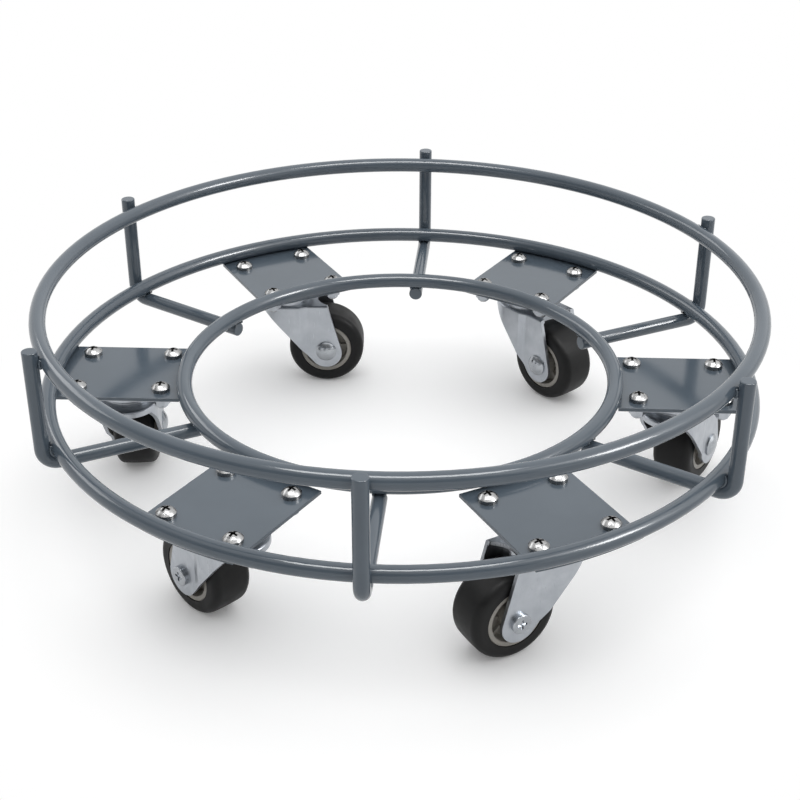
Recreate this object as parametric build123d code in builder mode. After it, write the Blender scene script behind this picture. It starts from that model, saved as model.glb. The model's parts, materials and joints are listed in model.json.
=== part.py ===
# Round gas cylinder trolley: a welded rod frame that runs on swivel casters.
# Millimetres, +Z up. The origin is on the floor, under the middle of the rings.

import os
from math import cos, radians, sin

from build123d import *

# Rod frame
rod_diameter = 9.0  # the three rings
upright_diameter = 8.3  # the bent rods that carry them
ring_radius = 200.0  # centreline of the top ring and the lower ring
ring_spacing = 51.0  # lower ring to top ring, centre to centre
upright_rise = 3.0  # upright tops above the top of the top ring
upright_skew = 2.5  # degrees by which an upright stands off the midway line between two plates
spoke_overrun = 2.0  # spoke ends past the inner ring's centreline
rod_end_round = 0.6
weld_gap = 0.1  # paint and weld between two pieces that touch

# Mounting plates
plate_thickness = 2.0
plate_width = 62.0
plate_edge_round = 0.3

# Casters: the way each one points, counted from the caster on +X
swivel_angles = [57.5, -47.0, 2.0, 95.0, 135.5, 212.0]
caster_trail = 25.0  # kingpin axis to axle axis
kingpin_inset = 2.0  # kingpin inside the middle of its mounting plate

# Wheels
wheel_diameter = 50.0
wheel_width = 24.0
tread_crown = 0.5  # middle of the tread above its edges
tyre_shoulder = 4.5
rim_diameter = 33.4
rim_lip = 2.8
rim_inset = 0.4  # rim ring behind the tyre's side
rim_round = 0.5
web_thickness = 9.0
hub_diameter = 15.0
rib_count = 8
rib_thickness = 1.8
rib_setback = 5.0  # ribs behind the rim ring
bond_gap = 0.05  # tyre on rim

# Axle
axle_diameter = 6.0
sleeve_wall = 1.5
axle_clearance = 0.05
running_clearance = 0.08
hub_end_gap = 0.3
axle_head_diameter = 11.0
axle_head_height = 2.4
axle_head_round = 0.6
axle_nut_diameter = 13.5
axle_nut_height = 3.2
axle_nut_rim = 0.8  # straight side of the domed nut
axle_recess_length = 5.5
axle_recess_width = 1.3
axle_recess_depth = 0.7

# Swivel race
ball_diameter = 4.0
ball_pitch_radius = 11.0
ball_count = 12
ball_clearance = 0.05
groove_depth = 0.6
race_thickness = 5.2
race_land = 2.2  # flat between the balls and the dust skirt
skirt_wall = 1.5
skirt_gap = 0.8  # dust skirt above the fork's ball seat
kingpin_diameter = 10.0
kingpin_head_diameter = 16.0
kingpin_head_height = 3.0
kingpin_play = 0.15

# Forks
fork_sheet = 2.2
fork_edge_round = 1.2
tyre_side_gap = 1.1  # tyre side to fork leg
wheel_headroom = 5.6  # wheel top to fork deck
head_ledge = 0.4  # fork head outside the dust skirt, at its sides
head_lead = 5.0  # round front of the head drawn out ahead of the kingpin
neck_start = 8.0  # where the head turns in to the legs, behind the kingpin
neck_length = 5.0
neck_round = 3.0
seat_height = 3.2  # raised ball seat above the fork deck
seat_round = 1.0
flange_depth = 3.6
flange_half_length = 14.5  # front flange ends this far ahead of the kingpin
leg_end_radius = 10.5
leg_end_drop = 1.5  # middle of the round leg end below the axle
ear_reach = 1.0  # top corner of a leg behind the axle
ear_ledge = 1.0
deck_margin = 4.3  # deck behind the ball seat

# Caster top plates and their fasteners
top_plate_thickness = 2.5
top_plate_length = 60.0
top_plate_width = 54.0
top_plate_corner = 6.0
hole_inset = 6.0  # middle of a screw hole in from the plate's edges
screw_diameter = 5.0
screw_clearance = 0.25
screw_head_diameter = 10.5
screw_head_height = 4.8
screw_head_rim = 2.2  # straight side of the head
screw_ring_gap = 4.25  # screw head to ring, where the kingpin is in the middle of its plate
screw_recess_length = 5.2
screw_recess_width = 1.4
screw_recess_depth = 2.2
screw_end = 0.6  # screw end past the nut
nut_across_flats = 8.5
nut_hex_height = 3.8
nut_collar_diameter = 7.6
nut_collar_height = 1.8
nut_collar_round = 1.0
nut_clearance = 0.05

# Heights, from the floor up
rod_radius = rod_diameter / 2
upright_offset = rod_radius + upright_diameter / 2 + weld_gap  # centrelines of a ring and an upright
wheel_radius = wheel_diameter / 2
ball_radius = ball_diameter / 2
deck_under = wheel_diameter + wheel_headroom
deck_top = deck_under + fork_sheet
seat_top = deck_top + seat_height
seat_under = seat_top - fork_sheet
race_face = seat_top + 2 * (ball_radius - groove_depth)
ball_height = (seat_top + race_face) / 2
race_top = race_face + race_thickness
caster_top = race_top + top_plate_thickness
plate_top = caster_top + plate_thickness
lower_ring_height = plate_top + weld_gap + rod_radius
top_ring_height = lower_ring_height + ring_spacing
upright_top = top_ring_height + rod_radius + upright_rise
spoke_height = lower_ring_height - upright_offset

# Radii, widths and places that follow from the sizes above
groove_radius = ball_radius + ball_clearance
kingpin_radius = kingpin_diameter / 2
seat_radius = ball_pitch_radius + ball_radius + race_land
skirt_radius = seat_radius + skirt_wall
head_radius = skirt_radius + head_ledge
fork_inside = wheel_width / 2 + tyre_side_gap
fork_outside = fork_inside + fork_sheet
sleeve_radius = axle_diameter / 2 + axle_clearance + sleeve_wall
rim_radius = rim_diameter / 2
rim_half_width = wheel_width / 2 - rim_inset
hub_half_length = fork_inside - hub_end_gap
upright_radius = ring_radius + upright_offset
screw_spacing_radial = top_plate_length - 2 * hole_inset
screw_spacing_across = top_plate_width - 2 * hole_inset
deck_width = screw_spacing_radial + screw_head_diameter + 2 * screw_ring_gap + rod_diameter
inner_ring_radius = ring_radius - deck_width  # centreline of the inner ring
spoke_end = inner_ring_radius - spoke_overrun
caster_radius = (ring_radius + inner_ring_radius) / 2 - kingpin_inset
caster_count = len(swivel_angles)
caster_step = 360 / caster_count
screw_hole_radius = screw_diameter / 2 + screw_clearance
nut_bottom = race_top - nut_hex_height - nut_collar_height
caster_angles = [caster_step * index for index in range(caster_count)]
upright_angles = [angle + caster_step / 2 - upright_skew for angle in caster_angles]

os.makedirs("parts", exist_ok=True)


def write(shape, name):
    """Label one finished piece and save it under its name."""
    shape.label = name
    export_step(shape, f"parts/{name}.step")


def caster_place(angle, swivel):
    """Place of a caster: kingpin on the plate's line, wheel trailing along the swivel angle."""
    x = caster_radius * cos(radians(angle))
    y = caster_radius * sin(radians(angle))
    return Location((x, y, 0), (0, 0, swivel))


def screw_grid():
    """Places of one plate's screws about the kingpin."""
    return GridLocations(screw_spacing_radial, screw_spacing_across, 2, 2)


def dome_radius(width, rise):
    """Radius of the round cap that spans the width and rises by the rise."""
    return ((width / 2) ** 2 + rise**2) / (2 * rise)


def grouped(shapes):
    """One node that holds several separate solids."""
    return Compound(children=shapes)


# Rings
ring_sizes = {
    "top_ring": (ring_radius, top_ring_height),
    "lower_ring": (ring_radius, lower_ring_height),
    "inner_ring": (inner_ring_radius, lower_ring_height),
}
for ring_name, (radius, height) in ring_sizes.items():
    with BuildPart() as ring:
        with Locations((0, 0, height)):
            Torus(radius, rod_radius)
    write(ring.part, ring_name)

# Upright rods: each wraps under the lower ring and runs inwards as a spoke
with BuildPart() as upright_rod:
    with BuildLine(Plane.XZ):
        FilletPolyline(
            (upright_radius, upright_top),
            (upright_radius, spoke_height),
            (spoke_end, spoke_height),
            radius=upright_offset,
        )
    with BuildSketch(Plane((upright_radius, 0, upright_top), z_dir=(0, 0, -1))):
        Circle(upright_diameter / 2)
    sweep()
    rod_ends = upright_rod.faces().filter_by(GeomType.PLANE)
    fillet(rod_ends.edges(), rod_end_round)
for number, angle in enumerate(upright_angles, start=1):
    write(upright_rod.part.moved(Location((0, 0, 0), (0, 0, angle))), f"upright_rod_{number}")

# Mounting plates: from the inner ring's line to the lower ring's line, outer end cut round
with BuildPart() as mounting_plate:
    with BuildSketch(Plane.XY.offset(caster_top)):
        with Locations((inner_ring_radius, 0)):
            Rectangle(ring_radius, plate_width, align=(Align.MIN, Align.CENTER))
        Circle(ring_radius, mode=Mode.INTERSECT)
        with Locations((caster_radius, 0)):
            with screw_grid():
                Circle(screw_hole_radius, mode=Mode.SUBTRACT)
    extrude(amount=plate_thickness)
    plate_rim = mounting_plate.faces().sort_by(Axis.Z)[-1].outer_wire()
    fillet(plate_rim.edges(), plate_edge_round)
for number, angle in enumerate(caster_angles, start=1):
    write(mounting_plate.part.moved(Location((0, 0, 0), (0, 0, angle))), f"mounting_plate_{number}")

# Plate screws: domed heads with a cross recess
with BuildPart() as plate_screw:
    with BuildSketch(Plane.XZ):
        with BuildLine():
            Polyline(
                (0, nut_bottom - screw_end),
                (screw_diameter / 2, nut_bottom - screw_end),
                (screw_diameter / 2, plate_top),
                (screw_head_diameter / 2, plate_top),
                (screw_head_diameter / 2, plate_top + screw_head_rim),
            )
            RadiusArc(
                (screw_head_diameter / 2, plate_top + screw_head_rim),
                (0, plate_top + screw_head_height),
                -dome_radius(screw_head_diameter, screw_head_height - screw_head_rim),
            )
            Line((0, plate_top + screw_head_height), (0, nut_bottom - screw_end))
        make_face()
    revolve(axis=Axis.Z)
    with BuildSketch(Plane.XY.offset(plate_top + screw_head_height)):
        Rectangle(screw_recess_length, screw_recess_width)
        Rectangle(screw_recess_width, screw_recess_length)
    extrude(amount=-screw_recess_depth, mode=Mode.SUBTRACT)

# Plate nuts: hexagon with a rounded locking collar below
with BuildPart() as plate_nut:
    with BuildSketch(Plane.XY.offset(race_top)):
        RegularPolygon(nut_across_flats / 2, 6, major_radius=False)
    extrude(amount=-nut_hex_height)
    with BuildSketch(Plane.XY.offset(race_top - nut_hex_height)):
        Circle(nut_collar_diameter / 2)
    extrude(amount=-nut_collar_height)
    nut_foot = plate_nut.faces().sort_by(Axis.Z)[0]
    fillet(nut_foot.edges(), nut_collar_round)
    with BuildSketch(Plane.XY.offset(race_top)):
        Circle(screw_diameter / 2 + nut_clearance)
    extrude(amount=-(nut_hex_height + nut_collar_height), mode=Mode.SUBTRACT)

# Caster top plates, with a countersink for the kingpin's head
with BuildPart() as top_plate:
    with BuildSketch(Plane.XY.offset(race_top)):
        RectangleRounded(top_plate_length, top_plate_width, top_plate_corner)
        with screw_grid():
            Circle(screw_hole_radius, mode=Mode.SUBTRACT)
    extrude(amount=top_plate_thickness)
    with BuildSketch(Plane.XY.offset(race_top)):
        Circle(kingpin_radius + bond_gap)
    with BuildSketch(Plane.XY.offset(caster_top)):
        Circle(kingpin_head_diameter / 2 + bond_gap)
    loft(mode=Mode.SUBTRACT)

# Race cups: upper ball race with a dust skirt round the balls
with BuildPart() as race_cup:
    with BuildSketch(Plane.XZ):
        with BuildLine():
            Polyline(
                (kingpin_radius + bond_gap, race_top),
                (skirt_radius, race_top),
                (skirt_radius, seat_top + skirt_gap),
                (seat_radius, seat_top + skirt_gap),
                (seat_radius, race_face),
                (kingpin_radius + bond_gap, race_face),
                close=True,
            )
        make_face()
    revolve(axis=Axis.Z)
    with Locations((0, 0, ball_height)):
        Torus(ball_pitch_radius, groove_radius, mode=Mode.SUBTRACT)

# Kingpins: flush countersunk head above, flat head under the fork's ball seat
with BuildPart() as kingpin:
    with BuildSketch(Plane.XZ):
        with BuildLine():
            Polyline(
                (0, caster_top),
                (kingpin_head_diameter / 2, caster_top),
                (kingpin_radius, race_top),
                (kingpin_radius, seat_under - kingpin_play),
                (kingpin_head_diameter / 2, seat_under - kingpin_play),
                (kingpin_head_diameter / 2, seat_under - kingpin_play - kingpin_head_height),
                (0, seat_under - kingpin_play - kingpin_head_height),
                close=True,
            )
        make_face()
    revolve(axis=Axis.Z)

# Bearing balls of one caster
with BuildPart() as ball_set:
    with Locations((0, 0, ball_height)):
        with PolarLocations(ball_pitch_radius, ball_count):
            Sphere(ball_radius)

# Forks: one pressed shell, round head in front, two legs behind
with BuildPart() as fork:
    leg_middle = wheel_radius - leg_end_drop
    leg_bottom = leg_middle - leg_end_radius
    neck_end = neck_start + neck_length
    tail = caster_trail + leg_end_radius + 2 * fork_sheet
    with BuildSketch(Plane.XY.offset(leg_bottom)) as fork_plan:
        with Locations((-head_lead, 0)):
            Circle(head_radius)
        Polygon(
            (-head_lead, head_radius),
            (neck_start, head_radius),
            (neck_end, fork_outside),
            (tail, fork_outside),
            (tail, -fork_outside),
            (neck_end, -fork_outside),
            (neck_start, -head_radius),
            (-head_lead, -head_radius),
            align=None,
        )
        neck_corners = fork_plan.vertices().filter_by_position(Axis.X, 0, tail - fork_sheet)
        fillet(neck_corners, neck_round)
    extrude(amount=deck_top - leg_bottom)
    deck_rim = fork.faces().sort_by(Axis.Z)[-1]
    fillet(deck_rim.edges(), fork_edge_round)
    with BuildSketch(Plane.XY.offset(leg_bottom)):
        offset(fork_plan.sketch_local, amount=-fork_sheet)
    extrude(amount=deck_under - leg_bottom, mode=Mode.SUBTRACT)
    # Side outline: front flange, slanting leading edge, rounded leg ends
    with BuildSketch(Plane.XZ) as fork_side:
        with Locations((caster_trail, leg_middle)):
            Circle(leg_end_radius)
        Polygon(
            (-flange_half_length, deck_top - flange_depth),
            (-flange_half_length, deck_top + fork_sheet),
            (caster_trail + ear_reach, deck_top + fork_sheet),
            align=None,
        )
        make_hull(fork_side.edges())
        with Locations((0, deck_top - flange_depth)):
            Rectangle(
                head_lead + head_radius + fork_sheet,
                flange_depth + fork_sheet,
                align=(Align.MAX, Align.MIN),
            )
    extrude(amount=head_radius + fork_sheet, both=True, mode=Mode.INTERSECT)
    # Raised ball seat, hollow below
    with BuildSketch(Plane.XY.offset(deck_under)):
        Circle(seat_radius)
    extrude(amount=seat_top - deck_under)
    seat_rim = fork.faces().sort_by(Axis.Z)[-1]
    fillet(seat_rim.edges(), seat_round)
    with BuildSketch(Plane.XY.offset(deck_under)):
        Circle(seat_radius - fork_sheet)
    extrude(amount=seat_under - deck_under, mode=Mode.SUBTRACT)
    # Scooped rear edge of the deck, between the two ears
    scoop_front = seat_radius + deck_margin
    scoop_depth = caster_trail + ear_reach - scoop_front
    scoop_half_width = fork_inside - ear_ledge
    scoop_radius = (scoop_depth**2 + scoop_half_width**2) / (2 * scoop_depth)
    with BuildSketch(Plane.XY.offset(deck_under - fork_sheet)):
        with Locations((scoop_front + scoop_radius, 0)):
            Circle(scoop_radius)
            Rectangle(2 * scoop_radius, 2 * scoop_half_width, mode=Mode.INTERSECT)
    extrude(amount=3 * fork_sheet, mode=Mode.SUBTRACT)
    # Kingpin hole, ball groove and axle holes
    with BuildSketch(Plane.XY.offset(seat_under - fork_sheet)):
        Circle(kingpin_radius + running_clearance)
    extrude(amount=3 * fork_sheet, mode=Mode.SUBTRACT)
    with Locations((0, 0, ball_height)):
        Torus(ball_pitch_radius, groove_radius, mode=Mode.SUBTRACT)
    with BuildSketch(Plane.XZ):
        with Locations((caster_trail, wheel_radius)):
            Circle(axle_diameter / 2 + axle_clearance)
    extrude(amount=2 * fork_outside, both=True, mode=Mode.SUBTRACT)

# Axle pieces and wheels are turned about the axle line
axle_line = Axis((caster_trail, 0, wheel_radius), (0, 1, 0))
axle_plane = Plane((caster_trail, 0, wheel_radius), x_dir=(0, 0, 1), z_dir=(-1, 0, 0))

# Axle bolts: cylindrical head with a cross recess
with BuildPart() as axle_bolt:
    with BuildSketch(axle_plane) as bolt_section:
        with BuildLine():
            Polyline(
                (0, fork_outside + axle_head_height),
                (axle_head_diameter / 2, fork_outside + axle_head_height),
                (axle_head_diameter / 2, fork_outside),
                (axle_diameter / 2, fork_outside),
                (axle_diameter / 2, -fork_outside - axle_nut_rim),
                (0, -fork_outside - axle_nut_rim),
                close=True,
            )
        make_face()
        head_corner = bolt_section.vertices().group_by(Axis.X)[-1].sort_by(Axis.Y)[-1]
        fillet(head_corner, axle_head_round)
    revolve(axis=axle_line)
    head_plane = Plane(
        (caster_trail, fork_outside + axle_head_height, wheel_radius),
        x_dir=(1, 0, 0),
        z_dir=(0, 1, 0),
    )
    with BuildSketch(head_plane):
        Rectangle(axle_recess_length, axle_recess_width)
        Rectangle(axle_recess_width, axle_recess_length)
    extrude(amount=-axle_recess_depth, mode=Mode.SUBTRACT)

# Axle nuts: plain dome over the bolt's far end
with BuildPart() as axle_nut:
    with BuildSketch(axle_plane):
        with BuildLine():
            Polyline(
                (axle_diameter / 2 + axle_clearance, -fork_outside),
                (axle_nut_diameter / 2, -fork_outside),
                (axle_nut_diameter / 2, -fork_outside - axle_nut_rim),
            )
            RadiusArc(
                (axle_nut_diameter / 2, -fork_outside - axle_nut_rim),
                (0, -fork_outside - axle_nut_height),
                dome_radius(axle_nut_diameter, axle_nut_height - axle_nut_rim),
            )
            Polyline(
                (0, -fork_outside - axle_nut_height),
                (0, -fork_outside - axle_nut_rim - axle_clearance),
                (axle_diameter / 2 + axle_clearance, -fork_outside - axle_nut_rim - axle_clearance),
                (axle_diameter / 2 + axle_clearance, -fork_outside),
            )
        make_face()
    revolve(axis=axle_line)

# Axle sleeves: clamped between the legs, the wheel runs on them
with BuildPart() as axle_sleeve:
    with BuildSketch(axle_plane):
        with Locations(((axle_diameter / 2 + axle_clearance + sleeve_radius) / 2, 0)):
            Rectangle(sleeve_wall, 2 * fork_inside)
    revolve(axis=axle_line)

# Tyres: crowned tread with rounded shoulders
with BuildPart() as tyre:
    with BuildSketch(axle_plane) as tyre_section:
        with BuildLine():
            Polyline(
                (wheel_radius - tread_crown, -wheel_width / 2),
                (rim_radius + bond_gap, -wheel_width / 2),
                (rim_radius + bond_gap, wheel_width / 2),
                (wheel_radius - tread_crown, wheel_width / 2),
            )
            ThreePointArc(
                (wheel_radius - tread_crown, wheel_width / 2),
                (wheel_radius, 0),
                (wheel_radius - tread_crown, -wheel_width / 2),
            )
        make_face()
        fillet(tyre_section.vertices().group_by(Axis.X)[-1], tyre_shoulder)
    revolve(axis=axle_line)

# Wheel centres: hub, ribbed web and rim ring
with BuildPart() as wheel_centre:
    with BuildSketch(axle_plane):
        bore_radius = sleeve_radius + running_clearance
        with Locations((bore_radius, 0)):
            Rectangle(
                hub_diameter / 2 - bore_radius,
                2 * hub_half_length,
                align=(Align.MIN, Align.CENTER),
            )
            Rectangle(rim_radius - bore_radius, web_thickness, align=(Align.MIN, Align.CENTER))
    with BuildSketch(axle_plane) as rim_section:
        with Locations((rim_radius, 0)):
            Rectangle(rim_lip, 2 * rim_half_width, align=(Align.MAX, Align.CENTER))
        fillet(rim_section.vertices(), rim_round)
    revolve(axis=axle_line)
    with BuildSketch(Plane.XZ):
        with Locations((caster_trail, wheel_radius)):
            with PolarLocations((hub_diameter / 2 + rim_radius - rim_lip) / 2, rib_count):
                Rectangle(rim_radius - hub_diameter / 2, rib_thickness)
            Circle(rim_radius - rim_lip / 2, mode=Mode.INTERSECT)
            Circle((bore_radius + hub_diameter / 2) / 2, mode=Mode.SUBTRACT)
    extrude(amount=rim_half_width - rib_setback, both=True)

# Fixed caster pieces, one group of separate solids for each kind
fixed_pieces = {
    "caster_top_plates": top_plate,
    "race_cups": race_cup,
    "kingpins": kingpin,
    "bearing_balls": ball_set,
}
for group_name, piece in fixed_pieces.items():
    copies = []
    for angle in caster_angles:
        copies += piece.part.moved(caster_place(angle, angle)).solids()
    write(grouped(copies), group_name)

fasteners = {"plate_screws": plate_screw, "plate_nuts": plate_nut}
for group_name, piece in fasteners.items():
    copies = []
    for angle in caster_angles:
        for spot in screw_grid().local_locations:
            copies += piece.part.moved(caster_place(angle, angle) * spot).solids()
    write(grouped(copies), group_name)

# Moving caster pieces, one node for each caster
moving_pieces = {
    "fork": fork,
    "axle_bolt": axle_bolt,
    "axle_nut": axle_nut,
    "axle_sleeve": axle_sleeve,
    "tyre": tyre,
    "wheel_centre": wheel_centre,
}
for number, (angle, swivel) in enumerate(zip(caster_angles, swivel_angles), start=1):
    for piece_name, piece in moving_pieces.items():
        write(piece.part.moved(caster_place(angle, swivel)), f"{piece_name}_{number}")
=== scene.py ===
# Looks of the round gas cylinder trolley: powder coat, zinc, bright screws, rubber and plastic,
# on a pale floor in soft studio light, seen from the photograph's place. Metres, +Z up.

import json
from math import atan2, cos, pi, radians, sin, tan

import bpy
from mathutils import Matrix, Vector


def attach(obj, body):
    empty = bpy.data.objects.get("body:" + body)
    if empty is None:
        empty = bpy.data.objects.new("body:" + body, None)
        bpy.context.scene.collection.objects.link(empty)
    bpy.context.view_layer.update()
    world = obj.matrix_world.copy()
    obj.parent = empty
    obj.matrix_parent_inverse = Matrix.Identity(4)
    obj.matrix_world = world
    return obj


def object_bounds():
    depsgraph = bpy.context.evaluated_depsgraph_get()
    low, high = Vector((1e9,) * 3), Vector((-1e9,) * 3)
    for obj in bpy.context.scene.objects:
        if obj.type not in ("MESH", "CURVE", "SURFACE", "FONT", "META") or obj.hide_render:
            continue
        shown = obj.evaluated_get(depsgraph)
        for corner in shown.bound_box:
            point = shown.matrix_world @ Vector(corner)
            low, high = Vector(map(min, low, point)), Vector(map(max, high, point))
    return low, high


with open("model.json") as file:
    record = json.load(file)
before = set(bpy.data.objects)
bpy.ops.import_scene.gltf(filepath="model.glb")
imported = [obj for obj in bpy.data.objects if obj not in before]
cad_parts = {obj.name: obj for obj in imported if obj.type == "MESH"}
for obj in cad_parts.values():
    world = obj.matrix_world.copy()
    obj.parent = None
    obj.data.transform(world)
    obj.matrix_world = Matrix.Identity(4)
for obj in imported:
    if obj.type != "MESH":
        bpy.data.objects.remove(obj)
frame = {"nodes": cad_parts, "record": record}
cad_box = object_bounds()

# Camera: where it looks, how far off it stands, and how it is turned
camera_target = Vector((0.00153, -0.03507, 0.0781))
camera_distance = 0.83914
camera_elevation = radians(29.356)
camera_azimuth = radians(2.278)
camera_roll = radians(0.085)
camera_lens = 67.5  # millimetres
camera_sensor = 36.0
camera_near = 0.01  # what is nearer than this is not shown

# Floor and light
floor_half_width = 40.0
floor_bounce = 0.75  # grey of the floor for the light that it throws back at the object
floor_shown = 0.95  # grey of the floor as it is seen
floor_lift = 0.11  # light of its own that the floor shows beside the object
fade_start = 0.17  # from here outwards the floor turns to plain white
fade_end = 0.32
backdrop_level = 1.15  # white surroundings behind the object, as far up as their top
front_level = 0.27  # surroundings on the camera's side
turn_start = -0.6  # share of the way back at which the front's level ends and the backdrop's starts
turn_end = 0.4
backdrop_top = radians(33)
white_top = radians(8)  # up to here the surroundings are seen as plain white all round
white_end = radians(11)
ceiling_level = 1.45  # soft light from above
ceiling_start = radians(55)
side_gain = 0.25  # how much brighter the right is than the middle
lamp_distance = 4.0

# Lamps that show in the glossy surfaces: name, degrees to the right of straight back, degrees up,
# degrees wide and high, and level
lamps = (
    ("right_lamp", 106, 37, 16, 16, 19.0),
    ("right_halo", 106, 37, 34, 34, 1.7),
    ("right_spill", 109, 30, 62, 52, 0.8),
    ("left_lamp", -60, 32, 42, 13, 2.9),
    ("overhead_lamp", 180, 78, 40, 18, 10.5),
)

# Values between which a noise pattern swings
noise_low = 0.3
noise_high = 0.7

# Screw heads: painted shade darkens the recess, which is what lies above this height without the dome's
# slope
recess_from = 0.0758
dome_slope = 0.7  # upward share of the dome's normals, and how far they range about it
dome_slope_range = 0.292
# share of the colour left in the recess as painted shade
painted_recess_shade = 0.5

# Weld beads, two at each crossing of an upright and a ring, that follow the ring's section
weld_radius = 0.00085
weld_offset = 0.0029  # middle of a bead to the middle of its upright
weld_lift = 0.00045  # middle of a bead above the ring's skin
weld_ripple = 0.14  # share by which the thickness swells and shrinks
weld_ripple_length = 0.0011
weld_tip = 0.14  # share of the thickness that is left at the ends
weld_bluntness = 4  # the higher, the nearer to its ends a bead stays thick
weld_steps = 36
weld_sides = 10
upright_count = 6
weld_spans = {  # ring: degrees up from straight out at which the beads start and end
    "top_ring": (34, -34),
    "lower_ring": (32, -122),
    "inner_ring": (-56, -124),
}


def feed(tree, socket, term):
    """Set a socket to a number, or link it to another socket."""
    if isinstance(term, bpy.types.NodeSocket):
        tree.links.new(term, socket)
    else:
        socket.default_value = term


def maths(tree, operation, *terms):
    """The outcome of a sum, a product or a comparison of numbers and sockets."""
    node = tree.nodes.new("ShaderNodeMath")
    node.operation = operation
    for place, term in enumerate(terms):
        feed(tree, node.inputs[place], term)
    return node.outputs[0]


def axis_share(tree, vector, axis):
    """One axis of a vector."""
    split = tree.nodes.new("ShaderNodeSeparateXYZ")
    tree.links.new(vector, split.inputs[0])
    return split.outputs[axis]


def new_material(name):
    """A node material, its tree, its shader and its coordinates in metres."""
    material = bpy.data.materials.new(name)
    material.use_nodes = True
    tree = material.node_tree
    shader = tree.nodes["Principled BSDF"]
    coordinates = tree.nodes.new("ShaderNodeTexCoord").outputs["Object"]
    return material, tree, shader, coordinates


def noise(tree, coordinates, grain, detail=3.0, stretch=(1, 1, 1)):
    """Noise with patches of about the grain, in metres, drawn out by the stretch."""
    mapping = tree.nodes.new("ShaderNodeMapping")
    mapping.inputs["Scale"].default_value = [1 / (grain * pull) for pull in stretch]
    tree.links.new(coordinates, mapping.inputs["Vector"])
    texture = tree.nodes.new("ShaderNodeTexNoise")
    texture.inputs["Scale"].default_value = 1.0
    texture.inputs["Detail"].default_value = detail
    tree.links.new(mapping.outputs["Vector"], texture.inputs["Vector"])
    return texture.outputs["Fac"]


def colours(tree, pattern, shader, dark, light):
    """Base colour between two colours, following the pattern."""
    ramp = tree.nodes.new("ShaderNodeValToRGB")
    ramp.color_ramp.elements[0].position = noise_low
    ramp.color_ramp.elements[0].color = (*dark, 1)
    ramp.color_ramp.elements[1].position = noise_high
    ramp.color_ramp.elements[1].color = (*light, 1)
    tree.links.new(pattern, ramp.inputs["Fac"])
    tree.links.new(ramp.outputs["Color"], shader.inputs["Base Color"])


def paint_shade(tree, shader, painted_shade):
    """Base colour as it is, times a painted shade."""
    base = shader.inputs["Base Color"]
    shaded = tree.nodes.new("ShaderNodeVectorMath")
    shaded.operation = "SCALE"
    tree.links.new(base.links[0].from_socket, shaded.inputs["Vector"])
    tree.links.new(painted_shade, shaded.inputs["Scale"])
    tree.links.new(shaded.outputs["Vector"], base)


def roughness(tree, pattern, shader, smooth, rough):
    """Roughness between two values, following the pattern."""
    span = tree.nodes.new("ShaderNodeMapRange")
    span.inputs["From Min"].default_value = noise_low
    span.inputs["From Max"].default_value = noise_high
    span.inputs["To Min"].default_value = smooth
    span.inputs["To Max"].default_value = rough
    tree.links.new(pattern, span.inputs["Value"])
    tree.links.new(span.outputs["Result"], shader.inputs["Roughness"])


def relief(tree, pattern, shader, height, strength):
    """Bump of the given height in metres."""
    bump = tree.nodes.new("ShaderNodeBump")
    bump.inputs["Distance"].default_value = height
    bump.inputs["Strength"].default_value = strength
    tree.links.new(pattern, bump.inputs["Height"])
    tree.links.new(bump.outputs["Normal"], shader.inputs["Normal"])


def powder_coat():
    """Semi-gloss blue-grey powder coat with a fine orange peel."""
    material, tree, shader, coordinates = new_material("powder_coat")
    clouds = noise(tree, coordinates, grain=0.03)
    peel = noise(tree, coordinates, grain=0.0011, detail=1.0)
    colours(tree, clouds, shader, dark=(0.079, 0.102, 0.127), light=(0.09, 0.115, 0.142))
    roughness(tree, clouds, shader, smooth=0.1, rough=0.15)
    relief(tree, peel, shader, height=0.00002, strength=0.2)
    shader.inputs["IOR"].default_value = 1.52
    return material


def zinc():
    """Satin zinc on pressed steel: a faint bluish cloud and drawing marks."""
    material, tree, shader, coordinates = new_material("satin_zinc")
    clouds = noise(tree, coordinates, grain=0.009, detail=5.0)
    marks = noise(tree, coordinates, grain=0.0007, detail=4.0, stretch=(1, 1, 14))
    colours(tree, clouds, shader, dark=(0.372, 0.394, 0.425), light=(0.451, 0.474, 0.505))
    roughness(tree, marks, shader, smooth=0.27, rough=0.4)
    relief(tree, marks, shader, height=0.00002, strength=0.15)
    shader.inputs["Metallic"].default_value = 1.0
    return material


def bright_screw():
    """Bright plated screw heads, faintly clouded, with painted shade darkening the cross recess."""
    material, tree, shader, coordinates = new_material("screw_plating")
    clouds = noise(tree, coordinates, grain=0.002, detail=4.0)
    normal = tree.nodes.new("ShaderNodeNewGeometry").outputs["True Normal"]
    # mask of the cross recess, where painted shade darkens the colour
    below = maths(tree, "LESS_THAN", axis_share(tree, coordinates, "Z"), recess_from)
    dome = maths(tree, "COMPARE", axis_share(tree, normal, "Z"), dome_slope, dome_slope_range)
    painted_shade = maths(tree, "MAXIMUM", maths(tree, "MAXIMUM", below, dome), painted_recess_shade)
    colours(tree, clouds, shader, dark=(0.27, 0.27, 0.27), light=(0.35, 0.35, 0.35))
    paint_shade(tree, shader, painted_shade)
    roughness(tree, clouds, shader, smooth=0.22, rough=0.3)
    relief(tree, clouds, shader, height=0.00001, strength=0.1)
    shader.inputs["Metallic"].default_value = 1.0
    return material


def bright_steel():
    """Plated turned steel of the axles, kingpins and balls."""
    material, tree, shader, coordinates = new_material("turned_steel")
    clouds = noise(tree, coordinates, grain=0.003, detail=4.0)
    grain = noise(tree, coordinates, grain=0.0004, detail=2.0)
    colours(tree, clouds, shader, dark=(0.34, 0.358, 0.38), light=(0.41, 0.43, 0.454))
    roughness(tree, grain, shader, smooth=0.17, rough=0.24)
    relief(tree, grain, shader, height=0.00001, strength=0.06)
    shader.inputs["Metallic"].default_value = 1.0
    return material


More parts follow.
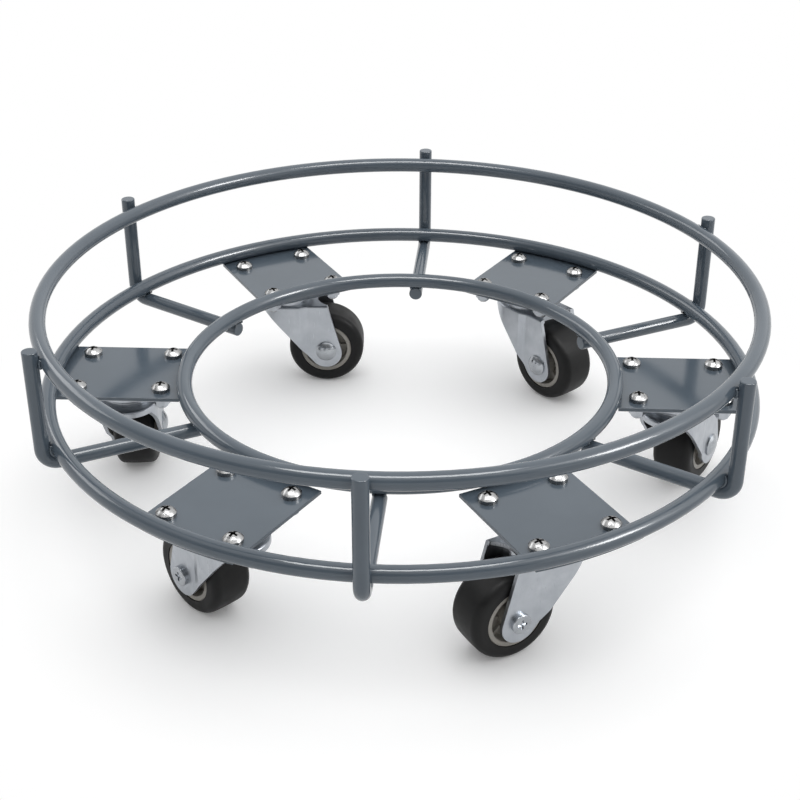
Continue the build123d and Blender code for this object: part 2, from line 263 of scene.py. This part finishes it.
def rubber():
    """Smooth black tread rubber with a dusty bloom."""
    material, tree, shader, coordinates = new_material("tread_rubber")
    bloom = noise(tree, coordinates, grain=0.006, detail=6.0)
    grain = noise(tree, coordinates, grain=0.0005, detail=2.0)
    colours(tree, bloom, shader, dark=(0.008, 0.008, 0.0085), light=(0.014, 0.014, 0.014))
    roughness(tree, bloom, shader, smooth=0.42, rough=0.58)
    relief(tree, grain, shader, height=0.00004, strength=0.35)
    shader.inputs["Specular IOR Level"].default_value = 0.2
    return material


def plastic():
    """Warm grey moulded wheel centres with a fine spark-eroded skin."""
    material, tree, shader, coordinates = new_material("moulded_plastic")
    clouds = noise(tree, coordinates, grain=0.005, detail=4.0)
    grain = noise(tree, coordinates, grain=0.0004, detail=2.0)
    colours(tree, clouds, shader, dark=(0.31, 0.295, 0.265), light=(0.37, 0.35, 0.315))
    roughness(tree, clouds, shader, smooth=0.42, rough=0.55)
    relief(tree, grain, shader, height=0.00004, strength=0.3)
    return material


def dress_frame():
    """Give every CAD node the material of its slot, and return the materials by slot."""
    materials = {
        "frame_paint": powder_coat(),
        "zinc_plate": zinc(),
        "bright_screw": bright_screw(),
        "bright_steel": bright_steel(),
        "tyre_rubber": rubber(),
        "wheel_plastic": plastic(),
    }
    for subpart in frame["record"]["subparts"]:
        for place in frame["nodes"][subpart["node"]].material_slots:
            place.material = materials[subpart["material_slot"]]
    return materials


def ring_form(name):
    """Radius of a ring's centreline, its height and the radius of its rod."""
    corners = [Vector(corner) for corner in frame["nodes"][name].bound_box]
    low = min(corner.z for corner in corners)
    high = max(corner.z for corner in corners)
    rod = (high - low) / 2
    return max(corner.x for corner in corners) - rod, (low + high) / 2, rod


def upright_angle(number):
    """Angle about the middle at which an upright stands, from the rim of its top end."""
    mesh = frame["nodes"][f"upright_rod_{number}"].data
    height, rod = ring_form("top_ring")[1:]
    end = [vertex.co for vertex in mesh.vertices if vertex.co.z > height + rod]
    middle = sum(end, Vector()) / len(end)
    return atan2(middle.y, middle.x)


def weld_bead(points, faces, angle, ring, side, span):
    """Add a rippled bead with tapered ends beside an upright."""
    radius, height, rod = ring_form(ring)
    up = Vector((0, 0, 1))
    out = Vector((cos(angle), sin(angle), 0))
    along = up.cross(out)
    start, end = (radians(turn) for turn in span)
    length = abs(end - start) * rod
    base = len(points)
    for step in range(weld_steps + 1):
        share = step / weld_steps
        turn = start + (end - start) * share
        away = out * cos(turn) + up * sin(turn)
        middle = out * radius + up * height + away * (rod + weld_lift) + along * side * weld_offset
        taper = max((1 - (2 * share - 1) ** weld_bluntness) ** 0.5, weld_tip)
        ripple = 1 + weld_ripple * sin(2 * pi * share * length / weld_ripple_length + angle + side)
        for corner in range(weld_sides):
            sweep = 2 * pi * corner / weld_sides
            spoke = away * cos(sweep) + along * sin(sweep)
            points.append(middle + spoke * weld_radius * taper * ripple)
    for step in range(weld_steps):
        for corner in range(weld_sides):
            following = (corner + 1) % weld_sides
            first = base + step * weld_sides
            second = first + weld_sides
            faces.append((first + corner, second + corner, second + following, first + following))
    last = len(points) - 1
    faces.append(range(base, base + weld_sides))
    faces.append(range(last, last - weld_sides, -1))


def weld_frame(material):
    """Painted weld beads where the uprights and their spokes cross the rings."""
    points, faces = [], []
    for number in range(1, upright_count + 1):
        for ring, span in weld_spans.items():
            for side in (-1, 1):
                weld_bead(points, faces, upright_angle(number), ring, side, span)
    mesh = bpy.data.meshes.new("frame_welds")
    mesh.from_pydata(points, [], faces)
    mesh.polygons.foreach_set("use_smooth", [True] * len(mesh.polygons))
    mesh.materials.append(material)
    welds = bpy.data.objects.new("frame_welds", mesh)
    bpy.context.collection.objects.link(welds)
    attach(welds, "frame")


def shown_rays(tree):
    """One for rays that come from the camera or from a reflection, nought for the light that bounces."""
    path = tree.nodes.new("ShaderNodeLightPath")
    either = maths(tree, "MAXIMUM", path.outputs["Is Camera Ray"], path.outputs["Is Glossy Ray"])
    return maths(tree, "MAXIMUM", either, path.outputs["Is Transmission Ray"])


def smooth_span(tree, value, start, end, low, high):
    """A value that goes smoothly from low at the start to high at the end."""
    span = tree.nodes.new("ShaderNodeMapRange")
    span.interpolation_type = "SMOOTHSTEP"
    tree.links.new(value, span.inputs["Value"])
    for name, term in (("From Min", start), ("From Max", end), ("To Min", low), ("To Max", high)):
        feed(tree, span.inputs[name], term)
    return span.outputs["Result"]


def floor_material():
    """Pale floor that keeps the shadow near the object and turns to plain white further out."""
    material = bpy.data.materials.new("floor")
    material.use_nodes = True
    tree = material.node_tree
    tree.nodes.clear()
    output = tree.nodes.new("ShaderNodeOutputMaterial")
    matt = tree.nodes.new("ShaderNodeBsdfDiffuse")
    lift = tree.nodes.new("ShaderNodeEmission")
    lit = tree.nodes.new("ShaderNodeAddShader")
    white = tree.nodes.new("ShaderNodeEmission")
    white.inputs["Strength"].default_value = 1.0
    shown = shown_rays(tree)
    grey = maths(tree, "MULTIPLY_ADD", shown, floor_shown - floor_bounce, floor_bounce)
    tree.links.new(grey, matt.inputs["Color"])
    tree.links.new(maths(tree, "MULTIPLY", shown, floor_lift), lift.inputs["Strength"])
    tree.links.new(matt.outputs[0], lit.inputs[0])
    tree.links.new(lift.outputs[0], lit.inputs[1])
    place = tree.nodes.new("ShaderNodeTexCoord")
    distance = tree.nodes.new("ShaderNodeVectorMath")
    distance.operation = "LENGTH"
    tree.links.new(place.outputs["Object"], distance.inputs[0])
    fade = smooth_span(tree, distance.outputs["Value"], fade_start, fade_end, 0.0, 1.0)
    blend = tree.nodes.new("ShaderNodeMixShader")
    tree.links.new(maths(tree, "MULTIPLY", shown, fade), blend.inputs["Fac"])
    tree.links.new(lit.outputs[0], blend.inputs[1])
    tree.links.new(white.outputs[0], blend.inputs[2])
    tree.links.new(blend.outputs[0], output.inputs["Surface"])
    return material


def lay_floor():
    """A wide flat floor under the tyres."""
    reach = floor_half_width
    mesh = bpy.data.meshes.new("floor")
    corners = [(-reach, -reach, 0), (reach, -reach, 0), (reach, reach, 0), (-reach, reach, 0)]
    mesh.from_pydata(corners, [], [(0, 1, 2, 3)])
    mesh.materials.append(floor_material())
    floor = bpy.data.objects.new("floor", mesh)
    bpy.context.collection.objects.link(floor)


def light_world():
    """Surroundings that are white behind the object and dim in front, under a bright ceiling."""
    world = bpy.data.worlds.new("studio")
    world.use_nodes = True
    tree = world.node_tree
    way = tree.nodes.new("ShaderNodeTexCoord").outputs["Generated"]
    depth = axis_share(tree, way, "Y")
    walls = smooth_span(tree, depth, turn_start, turn_end, front_level, backdrop_level)
    rise = axis_share(tree, way, "Z")
    level = smooth_span(tree, rise, sin(backdrop_top), sin(ceiling_start), walls, ceiling_level)
    side = smooth_span(tree, axis_share(tree, way, "X"), -1.0, 1.0, 1 - side_gain, 1 + side_gain)
    studio = maths(tree, "MULTIPLY", level, side)
    low = smooth_span(tree, rise, sin(white_top), sin(white_end), 1.0, 0.0)
    seen_white = maths(tree, "MULTIPLY", shown_rays(tree), low)
    lack = maths(tree, "SUBTRACT", 1.0, studio)
    background = tree.nodes["Background"]
    background.inputs["Color"].default_value = (1, 1, 1, 1)
    tree.links.new(maths(tree, "MULTIPLY_ADD", seen_white, lack, studio), background.inputs["Strength"])
    bpy.context.scene.world = world


def gloss_lamp(name, azimuth, elevation, width, height, level, aim):
    """A soft box at the given bearing that shows in glossy surfaces and casts no shadow."""
    data = bpy.data.lights.new(name, "AREA")
    data.shape = "RECTANGLE"
    data.size = 2 * lamp_distance * tan(radians(width) / 2)
    data.size_y = 2 * lamp_distance * tan(radians(height) / 2)
    data.energy = level * pi * data.size * data.size_y
    bearing, rise = radians(azimuth), radians(elevation)
    away = Vector((sin(bearing) * cos(rise), cos(bearing) * cos(rise), sin(rise)))
    lamp = bpy.data.objects.new(name, data)
    lamp.location = aim + away * lamp_distance
    lamp.rotation_mode = "QUATERNION"
    lamp.rotation_quaternion = (-away).to_track_quat("-Z", "Y")
    lamp.visible_diffuse = False
    bpy.context.collection.objects.link(lamp)


def stand_camera():
    """Camera at the photograph's angle and distance."""
    data = bpy.data.cameras.new("camera")
    data.lens = camera_lens
    data.sensor_width = camera_sensor
    data.clip_start = camera_near
    level = cos(camera_elevation)
    back = Vector((sin(camera_azimuth) * level, -cos(camera_azimuth) * level, sin(camera_elevation)))
    right = Vector((cos(camera_azimuth), sin(camera_azimuth), 0))
    up = back.cross(right)
    rolled_right = right * cos(camera_roll) + up * sin(camera_roll)
    rolled_up = up * cos(camera_roll) - right * sin(camera_roll)
    pose = Matrix((rolled_right, rolled_up, back)).transposed().to_4x4()
    pose.translation = camera_target + back * camera_distance
    camera = bpy.data.objects.new("camera", data)
    camera.matrix_world = pose
    bpy.context.collection.objects.link(camera)
    bpy.context.scene.camera = camera


materials = dress_frame()
weld_frame(materials["frame_paint"])
lay_floor()
light_world()
object_middle = (cad_box[0] + cad_box[1]) / 2
for lamp in lamps:
    gloss_lamp(*lamp, object_middle)
stand_camera()
bpy.context.scene.view_settings.view_transform = "Standard"
